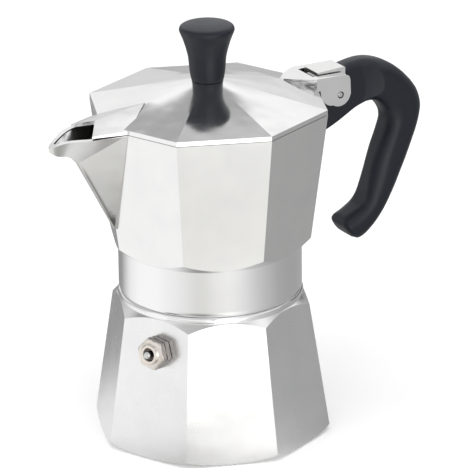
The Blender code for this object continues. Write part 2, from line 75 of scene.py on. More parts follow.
def loft(name, rings, closed=False):
    count = len(rings[0])
    points = [p for ring in rings for p in ring]
    faces = []
    last = len(rings) if closed else len(rings) - 1
    for i in range(last):
        low, high = i * count, ((i + 1) % len(rings)) * count
        for j in range(count):
            k = (j + 1) % count
            faces.append((low + j, low + k, high + k, high + j))
    if not closed:
        faces.append(tuple(range(count)))
        faces.append(tuple(range((len(rings) - 1) * count, len(rings) * count)))
    return solid(name, points, faces)


def circle(radius, z, sides, turn=0.0):
    angles = [math.radians(turn) + i * (2 * math.pi / sides) for i in range(sides)]
    return [(radius * math.cos(a), radius * math.sin(a), z) for a in angles]


def turned(name, profile, sides=BIG, closed=False):
    return loft(name, [circle(r, z, sides, 150.0 / sides) for r, z in profile], closed)


def octagon(radius, z, turn=0.0):
    return circle(radius, z, 8, turn)


def prism_y(name, outline, low, high):
    return loft(name, [[(x, y, z) for x, z in outline] for y in (low, high)])


def prism_z(name, outline, low, high):
    return loft(name, [[(x, y, z) for x, y in outline] for z in (low, high)])


def drum_y(name, x, z, radius, low, high, sides=SMALL):
    return prism_y(name, [(x + across, z + up) for across, up, _ in circle(radius, 0, sides)], low, high)


def turned_y(name, profile, sides):
    """A round piece about the hinge's line, from (radius, y) pairs."""
    rings = [(y, circle(r, 0, sides)) for r, y in profile]
    return loft(name, [[(PIN_X + across, y, PIN_Z + up) for across, up, _ in ring] for y, ring in rings])


def smooth_line(points, steps):
    """Points along a Catmull-Rom curve through the given ones."""
    pts = [Vector(p) for p in points]
    made = []
    for i in range(len(pts) - 1):
        a, b = pts[max(i - 1, 0)], pts[i]
        c, d = pts[i + 1], pts[min(i + 2, len(pts) - 1)]
        for k in range(steps):
            t = k / steps
            made.append(
                0.5 * ((2 * b) + (c - a) * t + (2 * a - 5 * b + 4 * c - d) * t * t
                       + (3 * b - a - 3 * c + d) * t * t * t)
            )
    made.append(pts[-1])
    return made


def tidy(mesh):
    bm = bmesh.new()
    bm.from_mesh(mesh)
    bmesh.ops.remove_doubles(bm, verts=bm.verts, dist=2e-3)
    bmesh.ops.dissolve_degenerate(bm, edges=bm.edges, dist=1e-3)
    bm.to_mesh(mesh)
    bm.free()


def boolean(operation, target, *tools):
    for tool in tools:
        modifier = target.modifiers.new(operation.lower(), "BOOLEAN")
        modifier.operation = operation
        modifier.solver = "EXACT"
        modifier.object = tool
        bpy.context.view_layer.update()
        graph = bpy.context.evaluated_depsgraph_get()
        mesh = bpy.data.meshes.new_from_object(target.evaluated_get(graph))
        tidy(mesh)
        target.modifiers.clear()
        old = target.data
        target.data = mesh
        bpy.data.meshes.remove(old)
        bpy.data.objects.remove(tool, do_unlink=True)
    return target


def join(target, *tools):
    return boolean("UNION", target, *tools)


def cut(target, *tools):
    return boolean("DIFFERENCE", target, *tools)


def keep(target, tool):
    return boolean("INTERSECT", target, tool)


def round_edges(obj, width, sharp=24.0, weigh=None, segments=3):
    """Rounds the edges sharper than an angle. weigh gives each one's share of the width from its middle."""
    bm = bmesh.new()
    bm.from_mesh(obj.data)
    bmesh.ops.dissolve_limit(bm, angle_limit=math.radians(0.25), verts=bm.verts, edges=bm.edges)
    weights = bm.edges.layers.float.get("bevel_weight_edge") or bm.edges.layers.float.new("bevel_weight_edge")
    for edge in bm.edges:
        if len(edge.link_faces) != 2 or edge.calc_face_angle(0) < math.radians(sharp):
            continue
        middle = (edge.verts[0].co + edge.verts[1].co) / 2
        edge[weights] = 1.0 if weigh is None else weigh(middle)
    bm.to_mesh(obj.data)
    bm.free()
    bevel = obj.modifiers.new("round", "BEVEL")
    bevel.limit_method = "WEIGHT"
    bevel.width = width
    bevel.segments = segments
    bevel.use_clamp_overlap = True
    bevel.miter_outer = "MITER_ARC"
    bpy.context.view_layer.update()
    mesh = bpy.data.meshes.new_from_object(obj.evaluated_get(bpy.context.evaluated_depsgraph_get()))
    obj.modifiers.clear()
    obj.data = mesh
    return obj


def piece(obj, name, body, node, mats, choose=None, sharp=38.0):
    """Brings a shape to metres and makes it the visible piece for a CAD node."""
    obj.data.transform(Matrix.Scale(MM, 4))
    obj.name = name
    obj.data.name = name
    obj.data.materials.clear()
    for mat in mats:
        obj.data.materials.append(mat)
    for polygon in obj.data.polygons:
        polygon.use_smooth = True
        polygon.material_index = choose(polygon.center / MM, polygon.normal) if choose else 0
    obj.data.set_sharp_from_angle(angle=math.radians(sharp))
    normals = obj.modifiers.new("normals", "WEIGHTED_NORMAL")
    normals.keep_sharp = True
    normals.weight = 80
    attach(obj, body)
    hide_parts(node)
    return obj


# ---- materials -------------------------------------------------------------------------------------


class Nodes:
    """A node tree, with short calls for what the materials, the cards and the world share."""

    def __init__(self, tree):
        self.tree = tree

    def node(self, kind, **settings):
        made = self.tree.nodes.new(kind)
        for key, value in settings.items():
            setattr(made, key, value)
        return made

    def link(self, output, target):
        self.tree.links.new(output, target)

    def math(self, operation, *values):
        made = self.node("ShaderNodeMath", operation=operation)
        for socket, value in zip(made.inputs, values):
            if isinstance(value, (int, float)):
                socket.default_value = value
            else:
                self.link(value, socket)
        return made.outputs[0]

    def ramp(self, value, stops, smooth="LINEAR"):
        made = self.node("ShaderNodeValToRGB")
        made.color_ramp.interpolation = smooth
        while len(made.color_ramp.elements) < len(stops):
            made.color_ramp.elements.new(0.5)
        for element, (at, tone) in zip(made.color_ramp.elements, stops):
            element.position = at
            element.color = (*(tone if isinstance(tone, tuple) else (tone,) * 3), 1)
        self.link(value, made.inputs["Fac"])
        return made.outputs["Color"]

    def blend(self, factor, a, b, **settings):
        made = self.node("ShaderNodeMix", data_type="RGBA", **settings)
        for key, value in (("Factor", factor), ("A", a), ("B", b)):
            if isinstance(value, (int, float, tuple)):
                made.inputs[key].default_value = value
            else:
                self.link(value, made.inputs[key])
        return made.outputs["Result"]

    def multiply(self, a, b):
        return self.blend(1.0, a, b, blend_type="MULTIPLY")

    def length(self, x, y):
        return self.math("SQRT", self.math("ADD", self.math("MULTIPLY", x, x), self.math("MULTIPLY", y, y)))

    def around(self, x, y, stops):
        """Tone by direction, in degrees from +X."""
        turn = self.math("MULTIPLY_ADD", self.math("ARCTAN2", y, x), 1 / (2 * math.pi), 0.5)
        return self.ramp(turn, [((degrees + 180) / 360, tone) for degrees, tone in stops])


class Shader(Nodes):
    """A Principled material. Noise scales, fades and bumps are in millimetres."""

    def __init__(self, name, colour, roughness, metallic):
        self.mat = bpy.data.materials.new(name)
        self.mat.use_nodes = True
        super().__init__(self.mat.node_tree)
        self.main = next(n for n in self.tree.nodes if n.type == "BSDF_PRINCIPLED")
        self.main.inputs["Base Color"].default_value = (*colour, 1.0)
        self.main.inputs["Roughness"].default_value = roughness
        self.main.inputs["Metallic"].default_value = metallic
        self.place = self.node("ShaderNodeTexCoord").outputs["Object"]

    def noise(self, scale, detail=3.0, rough=0.55):
        """Noise from 0 to 1. scale is one number or three, in features to the millimetre."""
        scales = scale if isinstance(scale, tuple) else (scale,) * 3
        mapping = self.node("ShaderNodeMapping")
        mapping.inputs["Scale"].default_value = [s / MM for s in scales]
        self.link(self.place, mapping.inputs["Vector"])
        made = self.node("ShaderNodeTexNoise")
        made.inputs["Scale"].default_value = 1.0
        made.inputs["Detail"].default_value = detail
        made.inputs["Roughness"].default_value = rough
        self.link(mapping.outputs["Vector"], made.inputs["Vector"])
        return made.outputs["Fac"]

    def spread(self, value, low, high, to_low, to_high):
        made = self.node("ShaderNodeMapRange")
        for key, number in (("From Min", low), ("From Max", high), ("To Min", to_low), ("To Max", to_high)):
            made.inputs[key].default_value = number
        self.link(value, made.inputs["Value"])
        return made.outputs["Result"]

    def fade(self, place, low, high, to_low, to_high):
        """spread() for a place, with its limits in millimetres."""
        return self.spread(place, low * MM, high * MM, to_low, to_high)

    def add(self, a, b, weight=1.0):
        return self.math("MULTIPLY_ADD", b, weight, a)

    def mix(self, value, low, high):
        return self.blend(value, (*low, 1.0), (*high, 1.0))

    def xyz(self):
        split = self.node("ShaderNodeSeparateXYZ")
        self.link(self.place, split.inputs[0])
        return [split.outputs[axis] for axis in "XYZ"]

    def bump(self, height, distance, strength=1.0, below=None):
        made = self.node("ShaderNodeBump")
        made.inputs["Distance"].default_value = distance * MM
        made.inputs["Strength"].default_value = strength
        self.link(height, made.inputs["Height"])
        if below:
            self.link(below, made.inputs["Normal"])
        return made.outputs["Normal"]

    def vector(self, operation, first, *constants):
        made = self.node("ShaderNodeVectorMath", operation=operation)
        self.link(first, made.inputs[0])
        for socket, constant in zip(list(made.inputs)[1:], constants):
            socket.default_value = constant
        return made.outputs["Value" if operation == "LENGTH" else "Vector"]

    def crown(self):
        """Normals that turn from the lid's eight facets into a cone around the knob."""
        flat = self.vector("MULTIPLY", self.place, (1, 1, 0))
        far = self.vector("LENGTH", flat)
        lean = self.vector("NORMALIZE", flat)
        tilted = self.vector("MULTIPLY_ADD", lean, (LID_SLOPE, LID_SLOPE, 0), (0, 0, 1))
        cone = self.vector("NORMALIZE", tilted)
        x = self.xyz()[0]
        clear_of_beak, clear_of_hinge = self.fade(x, -29, -23, 0.0, 1.0), self.fade(x, 27, 31, 1.0, 0.0)
        near_knob = self.fade(far, 17, 36, 1.0, 0.0)
        both = self.node("ShaderNodeMix", data_type="VECTOR")
        self.link(self.math("MULTIPLY", near_knob, self.math("MULTIPLY", clear_of_beak, clear_of_hinge)),
                  both.inputs["Factor"])
        self.link(self.node("ShaderNodeTexCoord").outputs["Normal"], both.inputs["A"])
        self.link(cone, both.inputs["B"])
        turn = self.node("ShaderNodeVectorTransform", vector_type="NORMAL", convert_from="OBJECT",
                         convert_to="WORLD")
        self.link(both.outputs["Result"], turn.inputs[0])
        return turn.outputs[0]

    def set(self, socket, output):
        self.link(output, self.main.inputs[socket])


def nook_painted_shade(s):
    """Where the painted shade goes: the foot of the spout, and the thin dark line beside its keel."""
    x, y, z = s.xyz()
    aside = s.math("ABSOLUTE", y)
    lean = 0.36  # how far aside the painted shade's edge moves for each millimetre down
    waver = 3.0
    sloped = s.add(s.math("MULTIPLY", aside, 1 / MM), z, lean / MM)
    foot = s.spread(s.add(sloped, s.noise(0.8, 4.0, 0.7), waver), 35.6, 38.2, 1.0, 0.0)
    line = s.math("MULTIPLY", s.fade(aside, 0.9, 1.2, 0.0, 1.0), s.fade(aside, 1.3, 1.7, 0.7, 0.0))
    off_the_keel = s.fade(aside, 0.7, 1.1, 0.0, 1.0)
    on_the_spout = s.fade(x, -41.6, -41.0, 1.0, 0.0)
    below_the_lip = s.fade(z, 110, 116, 1.0, 0.0)
    mask = s.math("MULTIPLY", s.math("MAXIMUM", foot, line), off_the_keel)
    return s.math("MULTIPLY", s.math("MULTIPLY", mask, on_the_spout), below_the_lip)


def facet_metal(name, low, high, blur, nook=False, crown=False):
    """Cast aluminium polished on a belt: slow waves and fine grain, and with nook, painted shade at the foot
    of the spout and beside its keel.
    """
    s = Shader(name, (0.90, 0.90, 0.90), 0.17, 1.0)
    waves = s.noise(0.045, 2.0)
    grain = s.noise((1.1, 1.1, 0.16), 4.0, 0.7)
    s.set("Roughness", s.spread(s.add(s.noise(0.06, 3.0), grain, 0.5), 0.4, 1.1, *blur))
    colour = s.mix(s.spread(s.noise(0.09, 4.0, 0.6), 0.3, 0.7, 0.0, 1.0), low, high)
    if nook:
        # painted shade: near-black colour in the spout's nook and along its keel
        colour = s.blend(nook_painted_shade(s), colour, (0.19, 0.18, 0.17, 1.0))
    s.set("Base Color", colour)
    broad = s.bump(waves, 0.8, 0.4, s.crown() if crown else None)
    s.set("Normal", s.bump(grain, 0.0018, 0.5, broad))
    return s.mat


def turned_metal():
    """Aluminium cut on a lathe: rings too fine to count, with a soft sheen."""
    s = Shader("turned_aluminium", (0.9, 0.9, 0.9), 0.22, 1.0)
    rings = s.noise((0.006, 0.006, 2.4), 3.0, 0.6)
    s.set("Roughness", s.spread(rings, 0.3, 0.7, 0.16, 0.22))
    s.set("Base Color", s.mix(rings, (0.87, 0.87, 0.875), (0.90, 0.90, 0.90)))
    s.set("Normal", s.bump(rings, 0.004, 0.5, s.bump(s.noise(0.05, 2.0), 0.4, 0.3)))
    return s.mat


def raw_metal():
    """The as-cast inside: matt, grained, a little darker."""
    s = Shader("raw_cast_aluminium", (0.72, 0.72, 0.71), 0.42, 1.0)
    grain = s.noise(1.3, 5.0, 0.7)
    s.set("Roughness", s.spread(grain, 0.3, 0.7, 0.36, 0.5))
    s.set("Base Color", s.mix(s.noise(0.12, 4.0), (0.62, 0.62, 0.61), (0.78, 0.78, 0.77)))
    s.set("Normal", s.bump(grain, 0.06, 0.7))
    return s.mat


def painted_shade_metal():
    """Dark metal for painted shade, with painted reflection stripes, in the corners: the spout's keel and the
    walls under the lid's bracket.
    """
    s = Shader("painted_shade_metal", (0.4, 0.4, 0.4), 0.4, 1.0)
    s.set("Roughness", s.spread(s.noise(0.9, 3.0), 0.3, 0.7, 0.25, 0.42))
    # painted reflection: dark and light stripes standing for mirrored ones
    reflection_streaks = s.noise((0.15, 0.15, 1.1), 3.0, 0.6)
    dark, light = (0.13, 0.13, 0.135), (0.60, 0.60, 0.60)
    s.set("Base Color", s.mix(s.spread(reflection_streaks, 0.42, 0.58, 0.0, 1.0), dark, light))
    s.set("Normal", s.bump(s.noise(1.3, 4.0, 0.7), 0.03, 0.6))
    return s.mat


def sheet_metal():
    """Thin spun aluminium of the funnel."""
    s = Shader("spun_aluminium_sheet", (0.8, 0.8, 0.8), 0.34, 1.0)
    rings = s.noise((0.03, 0.03, 1.6), 3.0, 0.6)
    s.set("Roughness", s.spread(rings, 0.3, 0.7, 0.28, 0.42))
    s.set("Base Color", s.mix(s.noise(0.1, 3.0), (0.76, 0.76, 0.76), (0.85, 0.85, 0.85)))
    s.set("Normal", s.bump(rings, 0.03, 0.6))
    return s.mat


def plated_brass(name="nickel_plated_brass", low=(0.72, 0.66, 0.60), high=(0.82, 0.77, 0.72)):
    s = Shader(name, high, 0.2, 1.0)
    grain = s.noise(1.4, 4.0, 0.65)
    s.set("Roughness", s.spread(grain, 0.3, 0.7, 0.15, 0.28))
    s.set("Base Color", s.mix(s.spread(s.noise(0.5, 3.0), 0.35, 0.65, 0.0, 1.0), low, high))
    s.set("Normal", s.bump(grain, 0.012, 0.5))
    return s.mat


def steel():
    s = Shader("steel", (0.68, 0.68, 0.67), 0.25, 1.0)
    grain = s.noise((2.6, 0.5, 2.6), 3.0, 0.6)
    s.set("Roughness", s.spread(grain, 0.3, 0.7, 0.18, 0.32))
    s.set("Base Color", s.mix(grain, (0.62, 0.62, 0.61), (0.74, 0.74, 0.73)))
    s.set("Normal", s.bump(grain, 0.01, 0.5))
    return s.mat


def silicone():
    s = Shader("silicone", (0.86, 0.85, 0.82), 0.55, 0.0)
    grain = s.noise(1.6, 4.0, 0.6)
    s.main.inputs["Subsurface Weight"].default_value = 0.15
    s.main.inputs["Subsurface Scale"].default_value = 0.002
    s.set("Roughness", s.spread(grain, 0.3, 0.7, 0.48, 0.62))
    s.set("Base Color", s.mix(s.noise(0.2, 3.0), (0.82, 0.81, 0.77), (0.89, 0.88, 0.85)))
    s.set("Normal", s.bump(grain, 0.02, 0.5))
    return s.mat


def black_plastic():
    """Moulded thermoset plastic with a fine satin skin."""
    s = Shader("black_thermoset", (0.009, 0.011, 0.019), 0.36, 0.0)
    skin = s.noise(1.2, 4.0, 0.6)
    s.main.inputs["Specular IOR Level"].default_value = 0.42
    s.set("Roughness", s.spread(s.add(s.noise(0.08, 3.0), skin, 0.4), 0.35, 1.0, 0.30, 0.42))
    s.set("Base Color", s.mix(s.noise(0.3, 4.0), (0.004, 0.006, 0.013), (0.007, 0.009, 0.018)))
    s.set("Normal", s.bump(skin, 0.02, 0.5, s.bump(s.noise(0.07, 2.0), 0.4, 0.3)))
    return s.mat


# ---- shapes ----------------------------------------------------------------------------------------


def threaded(name, radius, height, low, high, offset, sides=96, step=0.25):
    """A capped cylinder with a right-handed ridge on it, raised or, with a negative height, sunk."""
    count = round((THREAD_HIGH - THREAD_LOW) / step)
    rows = [THREAD_LOW + (THREAD_HIGH - THREAD_LOW) * i / count for i in range(count + 1)]
    run_out, foot, flank = 1.5, 0.95, 0.65  # of the ridge: its ends, half its foot's width, its sides
    rings = []
    for z in [low] + rows + [high]:
        fade = min(1.0, max(0.0, (z - THREAD_LOW) / run_out), max(0.0, (THREAD_HIGH - z) / run_out))
        ring = []
        for i in range(sides):
            angle = 2 * math.pi * i / sides
            turns = (z - offset) / PITCH - angle / (2 * math.pi)
            away = abs(turns - round(turns)) * PITCH
            r = radius + height * fade * min(1.0, max(0.0, (foot - away) / flank))
            ring.append((r * math.cos(angle), r * math.sin(angle), z))
        rings.append(ring)
    return loft(name, rings)


def boiler_radius(z):
    return FOOT_R + TAPER * (FOOT_Z - z)


def valve_frame():
    face = math.radians(202.5 + BOILER_TURN)
    tilt = math.atan(TAPER * math.cos(math.pi / 8))
    outward = Vector((math.cos(face), math.sin(face), 0))
    along = Vector((-outward.y, outward.x, 0))
    normal = (outward * math.cos(tilt) + Vector((0, 0, math.sin(tilt)))).normalized()
    centre = outward * boiler_radius(VALVE_Z) * math.cos(math.pi / 8) + along * 2.0 + Vector((0, 0, VALVE_Z))
    turn = Matrix((along, normal.cross(along), normal)).transposed().to_4x4()
    return Matrix.Translation(centre) @ turn


def set_in_valve(obj):
    obj.data.transform(valve_frame())
    return obj


def make_boiler(mats):
    body = loft("boiler_shell", [octagon(boiler_radius(z), z, BOILER_TURN) for z in (-2.0, 60.0)])
    outside = turned(
        "outside",
        [(40.2, 0.0), (41.4, 0.08), (42.5, 0.4), (43.5, 0.85), (44.5, 1.5), (45.4, 2.35), (46.3, 3.5),
         (48.0, 6.5), (48.0, 42.63), (34.9, 53.75), (34.65, 53.95), (34.65, 54.2), (34.95, 54.4),
         (35.05, 54.85), (34.95, 55.45), (34.7, 55.85), (34.35, 56.08), (34.0, 56.17), (33.0, 56.2)],
    )
    keep(body, outside)
    join(body, threaded("neck", NECK_R, THREAD_H, 53.0, 69.5, 0.0))
    cavity = turned(
        "cavity",
        [(33.5, 3.4), (35.4, 3.7), (36.7, 4.6), (37.5, 5.8), (37.8, 7.2), (33.4, 44.0), (31.8, 48.0),
         (28.0, 52.5), (28.0, 75.0)],
        96,
    )
    cut(body, cavity, set_in_valve(turned("bore", [(3.6, -10.0), (3.6, 3.0)], SMALL)))

    def weigh(p):
        r = math.hypot(p.x, p.y)
        if 56.3 < p.z < 69.3 or r < 28.5:
            return 0.0
        if p.z > 53 or (p - valve_frame().translation).length < 6:
            return 0.35
        return 1.0

    def choose(p, n):
        """0 facets, 1 turned foot, shoulder and neck, 2 raw inside."""
        r = math.hypot(p.x, p.y)
        outward = (p.x * n.x + p.y * n.y) / max(r, 1e-6)
        if outward < 0 and r < 39:
            return 2
        return 1 if (p.z > 43 and n.z > 0.35) or p.z > 54.5 or (p.z < 8 and n.z < -0.05) else 0

    round_edges(body, 0.75, 24.0, weigh)
    piece(body, "boiler_shell", "boiler", "boiler", mats, choose)


def make_valve(brass, steel_mat, rubber):
    body = turned("valve_hex", [(3.3, -8.0), (3.3, 1.0)], SMALL)
    core = turned("core", [(5.0, 0.3), (5.0, 5.0)], SMALL)
    back_hex = loft("back_hex", [circle(6.2, z, 6, 49.0) for z in (0.3, 2.6)])
    front_hex = loft("front_hex", [circle(6.2, z, 6, 49.0) for z in (3.1, 8.0)])
    keep(front_hex, turned("chamfer", [(7.4, 2.0), (7.4, 4.3), (6.3, 4.95), (5.4, 5.5), (4.8, 5.8),
                                       (4.2, 5.95), (3.0, 5.95)], 96))
    boss = turned(
        "boss", [(4.3, 5.5), (4.2, 5.95), (3.9, 6.15), (3.75, 6.45), (3.6, 6.75), (3.3, 6.9)], SMALL)
    join(body, core, back_hex, front_hex, boss)
    mouth = turned("mouth", [(2.4, 3.0), (2.4, 6.6), (2.7, 7.0), (2.7, 8.0)], SMALL)
    neck = turned("neck", [(1.45, 0.5), (1.45, 4.0)], SMALL)
    chamber = turned("chamber", [(2.7, -9.0), (2.7, 1.4)], SMALL)
    cut(body, mouth, neck, chamber)
    round_edges(body, 0.2, 30.0, None, 2)
    outward = valve_frame().to_3x3() @ Vector((0, 0, 1))

    def choose(p, n):
        """1 for the flats, darkened as a painted reflection, 0 for everything else."""
        return 1 if abs(n.dot(outward)) < 0.3 and (p - valve_frame().translation).dot(outward) < 5.4 else 0

    plating_and_reflection = [brass, METALS["flats"]]
    piece(set_in_valve(body), "valve_hex", "boiler", "valve_body", plating_and_reflection, choose)
    pin = turned(
        "valve_pin",
        [(2.0, -5.4), (2.2, -5.2), (2.2, -4.6), (1.1, -4.4), (1.1, 4.4), (1.4, 4.7), (1.4, 7.6), (1.3, 8.0),
         (1.05, 8.3), (0.7, 8.45), (0.3, 8.5)], SMALL)
    piece(set_in_valve(pin), "valve_pin", "valve_piston", "valve_piston", [steel_mat])
    seal = turned("valve_disc", [(1.9, -6.6), (2.15, -6.5), (2.2, -6.3), (2.2, -5.9), (2.0, -5.7)], SMALL)
    piece(set_in_valve(seal), "valve_disc", "valve_piston", "valve_seal", [rubber])
    ring = turned("valve_ring", [(1.4, -7.9), (2.3, -7.9), (2.4, -7.8), (2.4, -7.0), (2.3, -6.9), (1.4, -6.9),
                                 (1.3, -7.0), (1.3, -7.8)], SMALL, True)
    piece(set_in_valve(ring), "valve_ring", "boiler", "valve_retainer", [brass])
    coil_r, wire_r, turns, steps, coil_low, coil_long = 1.85, 0.3, 4, 24, -2.3, 3.2
    rings = []
    for i in range(turns * steps + 1):
        angle = 2 * math.pi * i / steps
        height = coil_low + coil_long * i / (turns * steps)
        wire = [(coil_r + across, height + up) for across, up, _ in circle(wire_r, 0, 10)]
        rings.append([(r * math.cos(angle), r * math.sin(angle), z) for r, z in wire])
    coil = set_in_valve(loft("valve_coil", rings))
    piece(coil, "valve_coil", "boiler", "valve_spring", [steel_mat])


def drills(rows, radius, low, high, sides=12):
    """Rows of round cutters as one shape, each row given by its ring's radius and the number on it."""
    points, faces = [], []
    for ring_r, count in rows:
        for i in range(count):
            angle = 2 * math.pi * i / count
            x, y = ring_r * math.cos(angle), ring_r * math.sin(angle)
            base = len(points)
            for z in (low, high):
                points += [(x + px, y + py, z) for px, py, _ in circle(radius, 0, sides)]
            bottom, top = range(base, base + sides), range(base + sides, base + 2 * sides)
            for j in range(sides):
                k = (j + 1) % sides
                faces.append((bottom[j], bottom[k], top[k], top[j]))
            faces += [tuple(bottom), tuple(top)]
    return solid("drills", points, faces)


def make_inner_pieces(sheet, steel_mat, rubber):
    funnel = turned(
        "basket",
        [(3.2, 7.0), (4.1, 7.0), (4.1, 40.0), (4.4, 41.4), (5.6, 42.6), (24.6, 49.2), (26.6, 50.3),
         (27.4, 51.9), (27.4, 69.8), (29.9, 69.8), (30.2, 70.1), (30.2, 70.5), (29.9, 70.7), (26.9, 70.7),
         (26.6, 70.4), (26.6, 52.3), (25.9, 51.2), (24.4, 50.2), (5.0, 43.4), (3.7, 42.3), (3.2, 40.4)],
        96, True)
    piece(funnel, "basket", "boiler", "funnel", [sheet])
    screen = turned("basket_floor", [(23.9, 50.35), (26.2, 52.2), (26.2, 53.0), (23.9, 51.3)], 96)
    cut(screen, drills([(0, 1), (4.4, 8), (8.8, 16), (13.2, 24), (17.6, 32)], 0.6, 48, 55))
    piece(screen, "basket_floor", "boiler", "funnel_screen", [sheet])
    ring = turned(
        "seal_ring",
        [(26.4, 71.2), (26.6, 71.0), (31.1, 71.0), (31.45, 71.2), (31.5, 71.5), (31.5, 72.9), (31.3, 73.2),
         (30.9, 73.3), (26.6, 73.3), (26.4, 73.1)], 96, True)
    piece(ring, "seal_ring", "seal", "gasket", [rubber])
    plate = turned("filter_disc", [(22.0, 71.4), (26.1, 71.9), (26.1, 72.7), (21.8, 72.2)], 96)
    cut(plate, drills([(0, 1), (3.6, 6), (7.2, 12), (10.8, 18), (14.4, 24), (18.0, 30)], 0.55, 70, 75))
    piece(plate, "filter_disc", "seal", "filter_plate", [steel_mat])


def collector_radius(z):
    return WAIST_R + (RIM_R - WAIST_R) * (z - WAIST_Z) / (RIM_Z - WAIST_Z)


def lip(name, behind, root, rim, keel, nose, top):
    """The pouring lip as a closed shape with straight sides above its rim.

    behind and root are the rim's two points at the wall, keel the two points of the keel below them, and
    rim and nose the matching lines out to the tip. Everything is given for the -Y half."""
    half = [[*behind, top], [*root, top]] + [[p[0], p[1], top] for p in rim]
    edge = [[*behind, rim[0][2]], [*root, rim[0][2]]] + [list(p) for p in rim]
    low = [list(keel[0]), list(keel[1])] + [list(p) for p in nose]
    n = len(edge)
    points = []
    for mirror in (1, -1):
        for line in (half, edge, low):
            points += [(x, y * mirror, z) for x, y, z in line]
    faces = []
    for side in (0, 3 * n):
        for i in range(n - 1):
            faces.append((side + i, side + i + 1, side + n + i + 1, side + n + i))
            faces.append((side + n + i, side + n + i + 1, side + 2 * n + i + 1, side + 2 * n + i))
    other = 3 * n
    for i in range(n - 1):
        faces.append((i, i + 1, other + i + 1, other + i))
        faces.append((2 * n + i, 2 * n + i + 1, other + 2 * n + i + 1, other + 2 * n + i))
    for end in (0, n - 1):
        faces.append((end, n + end, other + n + end, other + end))
        faces.append((n + end, 2 * n + end, other + 2 * n + end, other + n + end))
    return solid(name, points, faces)


